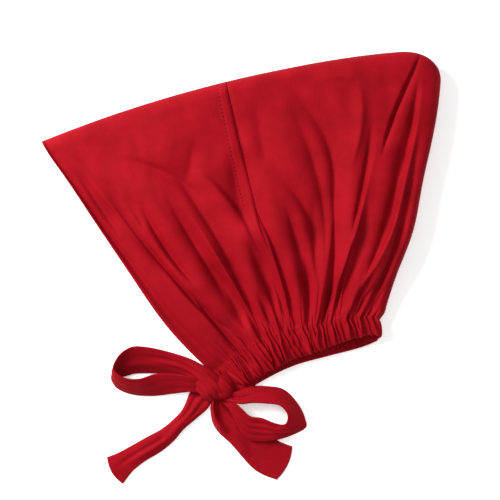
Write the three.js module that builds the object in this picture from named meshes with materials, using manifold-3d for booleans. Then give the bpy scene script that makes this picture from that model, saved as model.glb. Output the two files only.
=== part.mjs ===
// Hijab underscarf cap, lying flat on its side with its ties in a bow.
//
// The cap is two layers of thin jersey folded along the forehead-to-crown line: the upper layer
// is puffed and pleated, the lower one rests flat. A front panel and a back bag meet at a seam,
// an elastic casing gathers the hem, and the two tie ends of the casing are knotted at its corner.
// Each place on the cloth has two shares: u runs from the face edge (0) over the seam to the back
// line (1), and v from the gathered hem (0) to the top fold (1). Lengths are in millimetres.

import * as THREE from 'three';
import { LoftGeometry } from 'three/addons/geometries/LoftGeometry.js';
import { mergeGeometries, mergeVertices } from 'three/addons/utils/BufferGeometryUtils.js';
import Module from 'manifold-3d';

const { clamp, degToRad, lerp, smoothstep } = THREE.MathUtils;
const wasm = await Module();
wasm.setup();

// Outline of the cap, angles in degrees from the X axis

const HEM_LENGTH = 168; // tie corner to nape, straight
const HEM_TILT = 19;
const HEM_ARCH = { low: 0.13, high: 0.085 }; // sideways bow, as shares of its length
const FACE_LENGTH = 273; // tie corner to forehead tip
const FACE_LEAN = 126.3;
const BACK_LENGTH = 253; // nape to crown corner
const BACK_LEAN = 77.6;
const TOP_ARCH = { low: 0.058, high: 0.062 };
const CROWN_ROUND = 30; // how far the crown corner is rounded along both of its sides
const SEAM = 0.5; // where the seam lies between the face edge (0) and the back line (1)

// Heights and thicknesses

const WALL = 1.2; // jersey with its turned edges
const PUFF = 28; // fullest height of the upper layer
const HEM_PUFF = 18; // height of the gathered hem at the nape
const TOP_ROLL = 15; // how far the top fold is rounded
const BACK_ROLL = 27; // how far the back fold is rounded
const FOLD_DEPTH = 9;
const FOLD_WIDTH = 5.5;
const FOLD_ROUND = 0.5; // how round the bottom of a fold is, in fold widths
const FOLD_CROWDING = 0.35; // how much neighbouring folds hold each other up
const FOLD_AT_HEM = 0.35; // share of the folds' depth that is left at the hem
const EASE = 2; // over which height the cloth settles onto its least height
const CLEAR_INSIDE = 4.6; // least open height kept between the two layers
const GAP = 0.3; // between neighbouring pieces

// Elastic casing

const BAND_WIDTH = 22;
const BAND_WALL = 2.4;
const BAND_PLACES = [0, 0.12, 0.5, 0.88, 1]; // across it, as shares of its width
const BAND_RIM = 0.45; // thickness of its rims, as a share of its wall
const BAND_AT_KNOT = { width: 0.45, reach: 0.14 }; // its narrow start, and where it is full
const BAND_WAVE = { upper: 0.25, lower: 0.5 }; // how far its two runs follow the pleats
const BAND_SLIP = 5; // how far the lower run shows below the upper one
const PLEATS = 28;
const PLEAT_DEPTH = 1.6;
const GATHER_REACH = 20; // how far the hem's gathers run up into the cloth
const GATHERS_START = { from: 0.02, full: 0.1 }; // where along the hem they begin

// Ties and knot

const TIE_WIDTH = 36;
const TIE_WALL = 1.6;
const LEFT_LOOP = 103;
const RIGHT_LOOP = 90;
const LEFT_TAIL = 130;
const RIGHT_TAIL = 110;
const KNOT_OFFSET = 13.7; // tie corner to the middle of the knot
const KNOT_BEARING = -74;
const KNOT_SIZE = { length: 27, width: 22, height: 15.5 };
const KNOT_TILT = -28;
const KNOT_RIDGES = { count: 5, height: 0.05 }; // their height is a share of the knot's radius
const KNOT_FACES = { around: 18, along: 12 };
const KNOT_LIFT = 1.05; // height of its middle, as a share of half its height

// Guide lines that fan from the hem to the top fold, at chosen places u. Each runs from a share
// of the hem to a share of the top, bowed sideways by shares of its own length near both ends.

const GUIDES = [
  { at: 0.0, hem: 0.0, top: 0.0, low: 0.045, high: 0.025 },
  { at: 0.1, hem: 0.13, top: 0.045, low: 0.0, high: 0.05 },
  { at: 0.22, hem: 0.185, top: 0.183, low: 0.05, high: 0.12 },
  { at: 0.32, hem: 0.284, top: 0.29, low: 0.01, high: 0.26 },
  { at: 0.4, hem: 0.36, top: 0.35, low: 0.03, high: 0.18 },
  { at: 0.5, hem: 0.45, top: 0.461, low: 0.0, high: 0.01 },
  { at: 0.6, hem: 0.556, top: 0.6, low: -0.02, high: 0.07 },
  { at: 0.7, hem: 0.64, top: 0.71, low: -0.06, high: -0.045 },
  { at: 0.8, hem: 0.75, top: 0.822, low: -0.02, high: -0.04 },
  { at: 0.91, hem: 0.876, top: 0.92, low: -0.09, high: -0.08 },
  { at: 1.0, hem: 1.0, top: 1.0, low: -0.02, high: -0.065 },
];

// Height of the upper layer at the hem (share of HEM_PUFF) and above it (share of PUFF), and the
// height of the folded edge, where both layers meet (share of the same).

const HEIGHTS = [
  { at: 0.0, hem: 0.42, body: 0.42, edge: 0.1 },
  { at: 0.1, hem: 0.5, body: 0.5, edge: 0.11 },
  { at: 0.3, hem: 0.68, body: 0.68, edge: 0.14 },
  { at: 0.5, hem: 0.82, body: 0.82, edge: 0.19 },
  { at: 0.75, hem: 0.95, body: 0.96, edge: 0.29 },
  { at: 0.9, hem: 1.0, body: 1.0, edge: 0.35 },
  { at: 1.0, hem: 0.96, body: 0.98, edge: 0.38 },
];

// Valleys between the folds of the upper layer. Each runs from (u1, v1), nearer the hem, to
// (u2, v2), bent sideways by a share of its own length; depth and width are shares of FOLD_DEPTH
// and FOLD_WIDTH.

const VALLEYS = [
  { u1: 0.022, v1: 0.05, u2: 0.044, v2: 0.92, bend: 0.0, depth: 0.22, width: 1.1 },
  { u1: 0.15, v1: -0.1, u2: 0.168, v2: 0.3, bend: -0.06, depth: 0.6, width: 0.9 },
  { u1: 0.122, v1: 0.24, u2: 0.085, v2: 0.76, bend: 0.02, depth: 0.35, width: 1.0 },
  { u1: 0.245, v1: 0.3, u2: 0.224, v2: 0.63, bend: 0.03, depth: 0.4, width: 1.0 },
  { u1: 0.322, v1: 0.25, u2: 0.334, v2: 0.65, bend: 0.0, depth: 0.9, width: 1.2 },
  { u1: 0.338, v1: -0.08, u2: 0.342, v2: 0.32, bend: -0.06, depth: 0.8, width: 1.0 },
  { u1: 0.418, v1: 0.26, u2: 0.374, v2: 0.74, bend: -0.02, depth: 0.65, width: 0.9 },
  { u1: 0.385, v1: 0.69, u2: 0.19, v2: 0.86, bend: -0.04, depth: 0.35, width: 1.2 },
  { u1: 0.285, v1: -0.05, u2: 0.225, v2: 0.16, bend: 0.0, depth: 0.5, width: 0.8 },
  { u1: 0.47, v1: 0.46, u2: 0.492, v2: 0.78, bend: 0.02, depth: 0.45, width: 0.8 },
  { u1: 0.522, v1: 0.18, u2: 0.47, v2: 0.53, bend: 0.03, depth: 0.55, width: 0.9 },
  { u1: 0.51, v1: 0.4, u2: 0.508, v2: 1.0, bend: 0.0, depth: 0.15, width: 0.5 },
  { u1: 0.49, v1: 0.06, u2: 0.468, v2: 0.34, bend: 0.0, depth: 0.45, width: 0.7 },
  { u1: 0.45, v1: -0.08, u2: 0.425, v2: 0.18, bend: 0.0, depth: 0.5, width: 0.7 },
  { u1: 0.675, v1: 0.18, u2: 0.545, v2: 0.9, bend: -0.02, depth: 0.6, width: 1.0 },
  { u1: 0.632, v1: 0.68, u2: 0.57, v2: 0.92, bend: 0.0, depth: 0.25, width: 0.8 },
  { u1: 0.63, v1: -0.1, u2: 0.588, v2: 0.47, bend: -0.02, depth: 0.8, width: 0.8 },
  { u1: 0.704, v1: 0.66, u2: 0.634, v2: 0.9, bend: -0.1, depth: 0.9, width: 1.0 },
  { u1: 0.725, v1: 0.18, u2: 0.704, v2: 0.74, bend: 0.0, depth: 1.0, width: 1.1 },
  { u1: 0.718, v1: -0.1, u2: 0.724, v2: 0.26, bend: 0.0, depth: 0.8, width: 0.8 },
  { u1: 0.81, v1: 0.38, u2: 0.797, v2: 0.82, bend: 0.0, depth: 0.5, width: 1.0 },
  { u1: 0.806, v1: -0.1, u2: 0.824, v2: 0.4, bend: 0.0, depth: 0.7, width: 0.8 },
  { u1: 0.853, v1: 0.66, u2: 0.972, v2: 0.98, bend: 0.1, depth: 0.45, width: 0.5 },
  { u1: 0.893, v1: 0.3, u2: 0.924, v2: 0.93, bend: 0.03, depth: 1.0, width: 0.9 },
  { u1: 0.905, v1: -0.05, u2: 0.922, v2: 0.48, bend: -0.08, depth: 0.8, width: 0.9 },
  { u1: 0.83, v1: -0.05, u2: 0.89, v2: 0.18, bend: 0.0, depth: 0.5, width: 0.8 },
];

// Sections of the tied strips, counted from the knot. Places are shares of the strip's own
// length along its bearing and aside of it, spread is its width seen from above as a share of
// TIE_WIDTH, turned to heading from the bearing, and first and second are the heights of its
// two edges and arch the rise of its middle, also as shares of TIE_WIDTH.

const LEFT_LOOP_BEARING = 171;
const LEFT_LOOP_SECTIONS = [
  { along: 0.08, aside: -0.07, spread: 0.45, heading: -87, first: 0.12, second: 0.33, arch: 0.04 },
  { along: 0.18, aside: -0.11, spread: 0.57, heading: -84, first: 0.07, second: 0.37, arch: 0.05 },
  { along: 0.31, aside: -0.13, spread: 0.57, heading: -86, first: 0.04, second: 0.38, arch: 0.05 },
  { along: 0.47, aside: -0.15, spread: 0.61, heading: -81, first: 0.02, second: 0.38, arch: 0.04 },
  { along: 0.65, aside: -0.15, spread: 0.67, heading: -83, first: 0.01, second: 0.38, arch: 0.03 },
  { along: 0.79, aside: -0.14, spread: 0.68, heading: -83, first: 0.01, second: 0.4, arch: 0.02 },
  { along: 0.88, aside: -0.11, spread: 0.57, heading: -86, first: 0.01, second: 0.45, arch: 0.0 },
  { along: 0.96, aside: -0.07, spread: 0.4, heading: -92, first: 0.01, second: 0.5, arch: 0.0 },
  { along: 0.985, aside: 0.0, spread: 0.29, heading: -99, first: 0.01, second: 0.5, arch: 0.0 },
  { along: 0.94, aside: 0.06, spread: 0.4, heading: -92, first: 0.01, second: 0.49, arch: 0.0 },
  { along: 0.84, aside: 0.1, spread: 0.39, heading: -93, first: 0.01, second: 0.48, arch: 0.02 },
  { along: 0.72, aside: 0.1, spread: 0.44, heading: -91, first: 0.01, second: 0.46, arch: 0.03 },
  { along: 0.57, aside: 0.07, spread: 0.44, heading: -84, first: 0.01, second: 0.44, arch: 0.03 },
  { along: 0.39, aside: 0.03, spread: 0.37, heading: -85, first: 0.09, second: 0.43, arch: 0.03 },
  { along: 0.24, aside: 0.01, spread: 0.27, heading: -87, first: 0.21, second: 0.43, arch: 0.02 },
  { along: 0.1, aside: 0.02, spread: 0.3, heading: -85, first: 0.25, second: 0.4, arch: 0.02 },
];

const RIGHT_LOOP_BEARING = -27;
const RIGHT_LOOP_SECTIONS = [
  { along: 0.12, aside: -0.04, spread: 0.24, heading: 117, first: 0.27, second: 0.16, arch: 0.02 },
  { along: 0.24, aside: 0.01, spread: 0.34, heading: 126, first: 0.33, second: 0.15, arch: 0.04 },
  { along: 0.34, aside: 0.09, spread: 0.41, heading: 124, first: 0.36, second: 0.1, arch: 0.05 },
  { along: 0.48, aside: 0.16, spread: 0.42, heading: 113, first: 0.38, second: 0.04, arch: 0.04 },
  { along: 0.64, aside: 0.21, spread: 0.4, heading: 98, first: 0.38, second: 0.02, arch: 0.03 },
  { along: 0.79, aside: 0.16, spread: 0.36, heading: 57, first: 0.38, second: 0.02, arch: 0.03 },
  { along: 0.88, aside: 0.08, spread: 0.47, heading: 24, first: 0.35, second: 0.02, arch: 0.03 },
  { along: 0.9, aside: 0.0, spread: 0.56, heading: 12, first: 0.31, second: 0.03, arch: 0.03 },
  { along: 0.78, aside: -0.11, spread: 0.46, heading: -36, first: 0.29, second: 0.12, arch: 0.04 },
  { along: 0.62, aside: -0.18, spread: 0.64, heading: -58, first: 0.3, second: 0.13, arch: 0.05 },
  { along: 0.44, aside: -0.22, spread: 0.74, heading: -71, first: 0.32, second: 0.12, arch: 0.05 },
  { along: 0.27, aside: -0.2, spread: 0.64, heading: -82, first: 0.32, second: 0.12, arch: 0.04 },
  { along: 0.12, aside: -0.13, spread: 0.36, heading: -99, first: 0.25, second: 0.12, arch: 0.02 },
];

const LEFT_TAIL_BEARING = -141;
const LEFT_TAIL_SECTIONS = [
  { along: 0.06, aside: -0.03, spread: 0.35, heading: 100, first: 0.06, second: 0.06, arch: 0.02 },
  { along: 0.15, aside: -0.02, spread: 0.6, heading: 96, first: 0.01, second: 0.02, arch: 0.05 },
  { along: 0.31, aside: 0.02, spread: 0.39, heading: 108, first: 0.0, second: 0.04, arch: 0.09 },
  { along: 0.4, aside: 0.03, spread: 0.39, heading: 104, first: 0.0, second: 0.03, arch: 0.09 },
  { along: 0.51, aside: 0.04, spread: 0.46, heading: 98, first: 0.0, second: 0.01, arch: 0.06 },
  { along: 0.63, aside: 0.03, spread: 0.54, heading: 94, first: 0.0, second: 0.0, arch: 0.05 },
  { along: 0.76, aside: 0.01, spread: 0.55, heading: 92, first: 0.0, second: 0.0, arch: 0.04 },
  { along: 0.87, aside: 0.0, spread: 0.62, heading: 88, first: 0.0, second: 0.0, arch: 0.02 },
  { along: 0.97, aside: 0.0, spread: 0.82, heading: 82, first: 0.0, second: 0.0, arch: 0.0 },
];

const RIGHT_TAIL_BEARING = -49;
const RIGHT_TAIL_SECTIONS = [
  { along: 0.07, aside: -0.03, spread: 0.26, heading: 41, first: 0.05, second: 0.06, arch: 0.02 },
  { along: 0.14, aside: -0.06, spread: 0.48, heading: 57, first: 0.01, second: 0.03, arch: 0.04 },
  { along: 0.23, aside: -0.11, spread: 0.75, heading: 69, first: 0.0, second: 0.0, arch: 0.03 },
  { along: 0.36, aside: -0.11, spread: 0.81, heading: 78, first: 0.0, second: 0.0, arch: 0.02 },
  { along: 0.52, aside: -0.1, spread: 0.86, heading: 86, first: 0.0, second: 0.0, arch: 0.01 },
  { along: 0.68, aside: -0.08, spread: 0.98, heading: 96, first: 0.0, second: 0.0, arch: 0.01 },
  { along: 0.78, aside: -0.05, spread: 1.0, heading: 104, first: 0.0, second: 0.0, arch: 0.01 },
  { along: 0.87, aside: 0.0, spread: 0.98, heading: 114, first: 0.0, second: 0.0, arch: 0.0 },
];

// How finely the curved faces are split

const RISE_STEPS = 13; // from the hem to the top fold
const TURN_SHARES = [0.62, 0.2]; // extra sections in the last half pleat before the back line
const STRIP_STEPS = 2; // for each section of a tied strip
const STRIP_PLACES = [0, 0.25, 0.5, 0.75, 1]; // points across a strip

// A column of a table at any place between its rows, on one smooth curve through them.
function read(table, column, place) {
  const rise = (k) => (table[k + 1][column] - table[k][column]) / (table[k + 1].at - table[k].at);
  const slope = (k) => {
    if (k === 0) return rise(0);
    if (k === table.length - 1) return rise(k - 1);
    const before = table[k].at - table[k - 1].at;
    const after = table[k + 1].at - table[k].at;
    return (rise(k - 1) * after + rise(k) * before) / (before + after);
  };
  let k = 0;
  while (k < table.length - 2 && place >= table[k + 1].at) k += 1;
  const span = table[k + 1].at - table[k].at;
  const t = (place - table[k].at) / span;
  return (
    table[k][column] * (2 * t ** 3 - 3 * t ** 2 + 1) +
    slope(k) * span * (t ** 3 - 2 * t ** 2 + t) +
    table[k + 1][column] * (3 * t ** 2 - 2 * t ** 3) +
    slope(k + 1) * span * (t ** 3 - t ** 2)
  );
}

function toward(angle, length) {
  return new THREE.Vector2(length, 0).rotateAround(new THREE.Vector2(), degToRad(angle));
}

// A point at a share of the way from a to b, on a line bowed to the left of that way.
function bowed(a, b, share, low, high) {
  const way = b.clone().sub(a);
  const aside = low * 3 * share * (1 - share) ** 2 + high * 3 * share ** 2 * (1 - share);
  return new THREE.Vector2(
    a.x + way.x * share - way.y * aside,
    a.y + way.y * share + way.x * aside
  );
}

const tieCorner = new THREE.Vector2(0, 0);
const nape = toward(HEM_TILT, HEM_LENGTH).add(tieCorner);
const foreheadTip = toward(FACE_LEAN, FACE_LENGTH).add(tieCorner);
const crownCorner = toward(BACK_LEAN, BACK_LENGTH).add(nape);
const topLength = foreheadTip.distanceTo(crownCorner);
const middleLength = (HEM_LENGTH + topLength) / 2;
const knotMiddle = toward(KNOT_BEARING, KNOT_OFFSET).add(tieCorner);

// Rounds the crown corner: both shares draw in where both come near 1.
function roundCorner(u, v) {
  const zoneU = CROWN_ROUND / middleLength;
  const zoneV = CROWN_ROUND / BACK_LENGTH;
  const a = Math.max(0, (u - 1 + zoneU) / zoneU);
  const b = Math.max(0, (v - 1 + zoneV) / zoneV);
  return [
    a > 0 ? 1 - zoneU + zoneU * a * Math.sqrt(1 - (b * b) / 2) : u,
    b > 0 ? 1 - zoneV + zoneV * b * Math.sqrt(1 - (a * a) / 2) : v,
  ];
}

// The place of (u, v) seen from above.
function plan(u, v) {
  const [across, up] = roundCorner(u, v);
  const hemPoint = bowed(tieCorner, nape, read(GUIDES, 'hem', across), HEM_ARCH.low, HEM_ARCH.high);
  const topPoint = bowed(
    foreheadTip,
    crownCorner,
    read(GUIDES, 'top', across),
    TOP_ARCH.low,
    TOP_ARCH.high
  );
  return bowed(hemPoint, topPoint, up, read(GUIDES, 'low', across), read(GUIDES, 'high', across));
}

// Unit direction out of the hem, square to it, seen from above.
function outward(u) {
  const step = 0.01;
  const along = plan(Math.min(1, u + step), 0).sub(plan(Math.max(0, u - step), 0));
  return new THREE.Vector2(along.y, -along.x).normalize();
}

// 1 over most of the cloth, and down to 0 where both layers meet at the top and back folds.
function fullness(u, v) {
  const width = lerp(HEM_LENGTH, topLength, v);
  const topShare = clamp(1 - ((1 - v) * BACK_LENGTH) / TOP_ROLL, 0, 1);
  const backShare = clamp(1 - ((1 - u) * width) / BACK_ROLL, 0, 1);
  return Math.sqrt(1 - topShare ** 2) * Math.sqrt(1 - backShare ** 2);
}

// How deep the folds press into the upper layer at (u, v).
function foldDepth(u, v) {
  let sum = 0;
  for (const { u1, v1, u2, v2, bend, depth, width } of VALLEYS) {
    const start = new THREE.Vector2(u1 * middleLength, v1 * BACK_LENGTH);
    const way = new THREE.Vector2(u2 * middleLength, v2 * BACK_LENGTH).sub(start);
    const length = way.length();
    way.normalize();
    const place = new THREE.Vector2(u * middleLength, v * BACK_LENGTH).sub(start);
    const share = place.dot(way) / length;
    const aside = place.cross(way) - bend * length * 4 * share * (1 - share);
    const ends = smoothstep(share, -0.02, 0.2) * (1 - smoothstep(share, 0.75, 1.02));
    const fall = Math.hypot(aside / (width * FOLD_WIDTH), FOLD_ROUND) - FOLD_ROUND;
    sum += depth * ends * Math.exp(-fall);
  }
  const lower = lerp(FOLD_AT_HEM, 1, smoothstep(v, 0, 0.2));
  return (FOLD_DEPTH * lower * sum) / (1 + FOLD_CROWDING * sum);
}

// The gathers that the elastic draws into the cloth beside it.
function gathers(u, v) {
  const start = smoothstep(u, GATHERS_START.from, GATHERS_START.full);
  const fade = start * Math.exp((-v * BACK_LENGTH) / GATHER_REACH);
  return (PLEAT_DEPTH / 2) * Math.cos(2 * Math.PI * PLEATS * u) * fade;
}

// Height of the folded edge, and of the upper layer's outer face.
function edgeHeight(u, v) {
  const share = smoothstep(v, 0, 0.3);
  return lerp((HEM_PUFF * read(HEIGHTS, 'hem', u)) / 2, PUFF * read(HEIGHTS, 'edge', u), share);
}

function upperHeight(u, v) {
  const rise = smoothstep(v, -0.05, 0.3);
  const smoothHeight = lerp(
    HEM_PUFF * read(HEIGHTS, 'hem', u),
    PUFF * read(HEIGHTS, 'body', u),
    rise
  );
  const folded = smoothHeight - foldDepth(u, v) + gathers(u, v);
  const least = 2 * WALL + CLEAR_INSIDE;
  const eased = least + EASE * Math.exp((folded - least - EASE) / EASE);
  return folded > least + EASE ? folded : eased;
}

// A point on the cloth: layer 1 is the upper one and layer -1 the lower one, and depth is how
// far it lies inside the outer face.
function clothPoint(u, v, layer, depth) {
  const full = fullness(u, v);
  const edge = edgeHeight(u, v);
  const insetU = u * (1 - depth / lerp(HEM_LENGTH, topLength, v));
  const insetV = v * (1 - depth / BACK_LENGTH);
  const slip = (BAND_SLIP * (1 - layer * full)) / 2;
  const fade = clamp(1 - v / 0.4, 0, 1) ** 2;
  const place = plan(insetU, insetV).addScaledVector(outward(u), slip * fade);
  const top = edge + (upperHeight(u, v) - depth - edge) * full;
  const bottom = edge + (depth - edge) * full;
  return new THREE.Vector3(place.x, place.y, layer > 0 ? top : bottom);
}

// Joins a ring of outer and inner points, section after section, into one closed wall. Where
// the last section is folded onto itself it closes the wall without an end strip.
function closedWall(sections, foldedEnd = false) {
  const first = sections[0];
  const last = sections[sections.length - 1];
  const rings = sections.map(({ outer, inner }) => [...outer, ...inner.slice().reverse()]);
  const faces = [
    new LoftGeometry(rings),
    new LoftGeometry([first.inner, first.outer], { closed: false }),
  ];
  if (!foldedEnd) faces.push(new LoftGeometry([last.outer, last.inner], { closed: false }));
  const wall = mergeGeometries(faces);
  wall.deleteAttribute('normal');
  wall.deleteAttribute('uv');
  return facingOut(mergeVertices(wall));
}

// Turns a closed mesh right side out.
function facingOut(geometry) {
  const points = geometry.attributes.position;
  const corners = geometry.index.array;
  const [a, b, c] = [new THREE.Vector3(), new THREE.Vector3(), new THREE.Vector3()];
  let volume = 0;
  for (let k = 0; k < corners.length; k += 3) {
    a.fromBufferAttribute(points, corners[k]);
    b.fromBufferAttribute(points, corners[k + 1]);
    c.fromBufferAttribute(points, corners[k + 2]);
    volume += a.dot(b.cross(c));
  }
  if (volume < 0) corners.reverse();
  return geometry;
}

// Places u from one end of a piece to the other, half a pleat apart.
function pleatPlaces(from, to) {
  const places = [];
  const steps = Math.round((to - from) * 2 * PLEATS);
  for (let k = 0; k <= steps; k += 1) places.push(lerp(from, to, k / steps));
  if (to === 1) {
    const pitch = (to - from) / steps;
    places.splice(-1, 0, ...TURN_SHARES.map((share) => 1 - pitch * share));
  }
  return places;
}

// One piece of the folded cloth, from u = from to u = to.
function clothPiece(from, to) {
  const rises = Array.from({ length: RISE_STEPS + 1 }, (_, k) => {
    const even = k / RISE_STEPS;
    return lerp(even, (1 - Math.cos(Math.PI * even)) / 2, 0.6);
  });
  const around = [
    ...rises.map((v) => ({ v, layer: 1 })),
    ...rises.slice(0, -1).reverse().map((v) => ({ v, layer: -1 })),
  ];
  const sections = pleatPlaces(from, to).map((u) => ({
    outer: around.map(({ v, layer }) => clothPoint(u, v, layer, 0)),
    inner: around.map(({ v, layer }) => clothPoint(u, v, layer, WALL)),
  }));
  return closedWall(sections, to === 1);
}

// The casing's middle line along the hem: over the cloth's upper layer, round the nape and back
// along the lower one.
function bandLine(u, layer) {
  const full = fullness(u, 0);
  const upper = clothPoint(u, 0, 1, WALL / 2);
  const lower = clothPoint(u, 0, -1, WALL / 2);
  const lift = (BAND_WALL - WALL + PLEAT_DEPTH) / 2;
  return layer > 0 ? upper : lower.setZ(lower.z + lift * full);
}

function bandPiece() {
  const places = pleatPlaces(0, 1);
  const line = [
    ...places.map((u) => ({ u, layer: 1 })),
    ...places.slice(0, -1).reverse().map((u) => ({ u, layer: -1 })),
  ];
  const points = line.map(({ u, layer }) => bandLine(u, layer));
  const sections = line.map(({ u, layer }, k) => {
    const before = points[Math.max(0, k - 1)];
    const after = points[Math.min(points.length - 1, k + 1)];
    const away = outward(u);
    const across = new THREE.Vector3(away.x, away.y, 0);
    const normal = new THREE.Vector3().crossVectors(across, after.clone().sub(before)).normalize();
    if (normal.z * layer < 0 && fullness(u, 0) > 0.9) normal.negate();
    const follow = layer > 0 ? BAND_WAVE.upper : BAND_WAVE.lower;
    const wave = follow * Math.cos(2 * Math.PI * PLEATS * u);
    const width = BAND_WIDTH * lerp(BAND_AT_KNOT.width, 1, smoothstep(u, 0, BAND_AT_KNOT.reach));
    const row = (side) =>
      BAND_PLACES.map((share) => {
        const rim = share === 0 || share === 1 ? BAND_RIM : 1;
        const height = side * rim * (BAND_WALL / 2) + wave * PLEAT_DEPTH * fullness(u, 0);
        return points[k]
          .clone()
          .addScaledVector(across, GAP + share * width)
          .addScaledVector(normal, height);
      });
    return { outer: row(1), inner: row(-1) };
  });
  return closedWall(sections);
}

// A tied strip of jersey, lofted through its sections.
function strip(sections, length, bearing) {
  const ahead = toward(bearing, 1);
  const edges = { first: [], second: [], arch: [] };
  for (const { along, aside, spread, heading, first, second, arch } of sections) {
    const middle = knotMiddle
      .clone()
      .addScaledVector(ahead, along * length)
      .addScaledVector(new THREE.Vector2(-ahead.y, ahead.x), aside * length);
    const half = toward(bearing + heading, (spread * TIE_WIDTH) / 2);
    const floor = TIE_WALL / 2;
    const near = middle.clone().sub(half);
    const far = middle.clone().add(half);
    edges.first.push(new THREE.Vector3(near.x, near.y, floor + first * TIE_WIDTH));
    edges.second.push(new THREE.Vector3(far.x, far.y, floor + second * TIE_WIDTH));
    edges.arch.push(new THREE.Vector3(arch * TIE_WIDTH, 0, 0));
  }
  const steps = (sections.length - 1) * STRIP_STEPS;
  const curves = Object.values(edges).map((points) => new THREE.CatmullRomCurve3(points));
  const at = (share, place) => {
    const [first, second, arch] = curves.map((curve) => curve.getPoint(share));
    const point = first.lerp(second, place);
    point.z = Math.max(TIE_WALL / 2, point.z + arch.x * 4 * place * (1 - place));
    return point;
  };
  const rows = Array.from({ length: steps + 1 }, (_, k) => {
    const share = k / steps;
    const step = 0.2 / steps;
    const outer = [];
    const inner = [];
    for (const place of STRIP_PLACES) {
      const ahead3 = at(Math.min(1, share + step), place).sub(at(Math.max(0, share - step), place));
      const across3 = at(share, Math.min(1, place + 0.1)).sub(at(share, Math.max(0, place - 0.1)));
      const normal = ahead3.cross(across3).normalize();
      outer.push(at(share, place).addScaledVector(normal, TIE_WALL / 2));
      inner.push(at(share, place).addScaledVector(normal, -TIE_WALL / 2));
    }
    return { outer, inner };
  });
  return closedWall(rows);
}

// The knot: a squashed round lump with the soft ridges of the wrapped strip.
function knotPiece(clearance) {
  const { length, width, height } = KNOT_SIZE;
  const round = new THREE.SphereGeometry(1, KNOT_FACES.around, KNOT_FACES.along);
  const ball = mergeVertices(round.deleteAttribute('uv').deleteAttribute('normal'));
  const points = ball.attributes.position;
  const point = new THREE.Vector3();
  for (let k = 0; k < points.count; k += 1) {
    point.fromBufferAttribute(points, k);
    const angle = Math.atan2(point.z, point.y);
    const ridge = 1 + KNOT_RIDGES.height * Math.cos(KNOT_RIDGES.count * angle);
    point.multiply(
      new THREE.Vector3(
        length / 2 + clearance,
        (width / 2) * ridge + clearance,
        (height / 2) * ridge + clearance
      )
    );
    points.setXYZ(k, point.x, point.y, point.z);
  }
  ball.rotateZ(degToRad(KNOT_TILT));
  ball.translate(knotMiddle.x, knotMiddle.y, (height / 2) * KNOT_LIFT);
  return facingOut(ball);
}

// Cuts the room of the knot out of a piece that comes out of it.
function clearOfKnot(geometry) {
  const toSolid = ({ attributes, index }) =>
    new wasm.Manifold(
      new wasm.Mesh({
        numProp: 3,
        vertProperties: attributes.position.array,
        triVerts: new Uint32Array(index.array),
      })
    );
  const cut = toSolid(geometry).subtract(toSolid(knotPiece(GAP)));
  const largest = cut.decompose().sort((a, b) => b.volume() - a.volume())[0].getMesh();
  const result = new THREE.BufferGeometry();
  result.setAttribute('position', new THREE.BufferAttribute(largest.vertProperties, 3));
  result.setIndex(new THREE.BufferAttribute(largest.triVerts, 1));
  return result;
}

// Assembly

const jersey = { roughness: 0.85, metalness: 0 };
const seamGap = GAP / 2 / middleLength;
const cap = new THREE.Group();

function add(name, geometry, color) {
  const mesh = new THREE.Mesh(geometry, new THREE.MeshStandardMaterial({ color, ...jersey }));
  mesh.name = name;
  cap.add(mesh);
}

add('front_panel', clothPiece(0, SEAM - seamGap), 0xbf172a);
add('crown_bag', clothPiece(SEAM + seamGap, 1), 0xb9162a);
add('nape_band', clearOfKnot(bandPiece()), 0xae1427);
add('bow_knot', knotPiece(0), 0xb51529);
add('bow_loop_left', clearOfKnot(strip(LEFT_LOOP_SECTIONS, LEFT_LOOP, LEFT_LOOP_BEARING)), 0xbd182b);
add('bow_loop_right', clearOfKnot(strip(RIGHT_LOOP_SECTIONS, RIGHT_LOOP, RIGHT_LOOP_BEARING)), 0xbd182b);
add('tie_tail_left', clearOfKnot(strip(LEFT_TAIL_SECTIONS, LEFT_TAIL, LEFT_TAIL_BEARING)), 0xbb172a);
add('tie_tail_right', clearOfKnot(strip(RIGHT_TAIL_SECTIONS, RIGHT_TAIL, RIGHT_TAIL_BEARING)), 0xbb172a);

// The origin is under the middle of the cap's box, on the surface that it lies on.

const box = new THREE.Box3().setFromObject(cap);
const middle = box.getCenter(new THREE.Vector3());
cap.position.set(-middle.x, -middle.y, -box.min.z);

export default cap;
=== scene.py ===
"""Hijab underscarf cap: the looks of a red jersey cap that lies flat on its side.

Each place on the cloth has two shares: u runs from the face edge (0) over the seam to the back
fold (1), and v from the gathered hem (0) to the top fold (1). The upper layer is puffed, with
folds that fan out of the hem, and the lower layer rests flat. Lengths are in metres.
"""

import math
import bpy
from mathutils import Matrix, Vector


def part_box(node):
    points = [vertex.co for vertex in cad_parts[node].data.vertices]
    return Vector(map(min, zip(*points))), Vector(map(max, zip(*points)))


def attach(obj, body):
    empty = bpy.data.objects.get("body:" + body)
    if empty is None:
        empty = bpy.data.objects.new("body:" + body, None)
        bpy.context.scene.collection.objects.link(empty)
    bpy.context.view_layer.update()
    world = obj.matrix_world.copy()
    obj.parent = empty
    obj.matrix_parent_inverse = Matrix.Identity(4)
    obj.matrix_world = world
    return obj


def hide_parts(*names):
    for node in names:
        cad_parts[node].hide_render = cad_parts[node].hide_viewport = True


bl_info = {
    "name": "Hijab Underscarf Cap",
    "version": (1, 0, 0),
    "blender": (4, 5, 0),
    "location": "View3D > Sidebar > Cap",
    "description": "Builds a gathered jersey underscarf cap with a tied bow over its solid model",
    "category": "Add Mesh",
}

import bmesh
import bpy
import numpy as np
from bpy.props import FloatProperty, FloatVectorProperty, IntProperty, PointerProperty
from mathutils import Matrix, Vector

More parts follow.
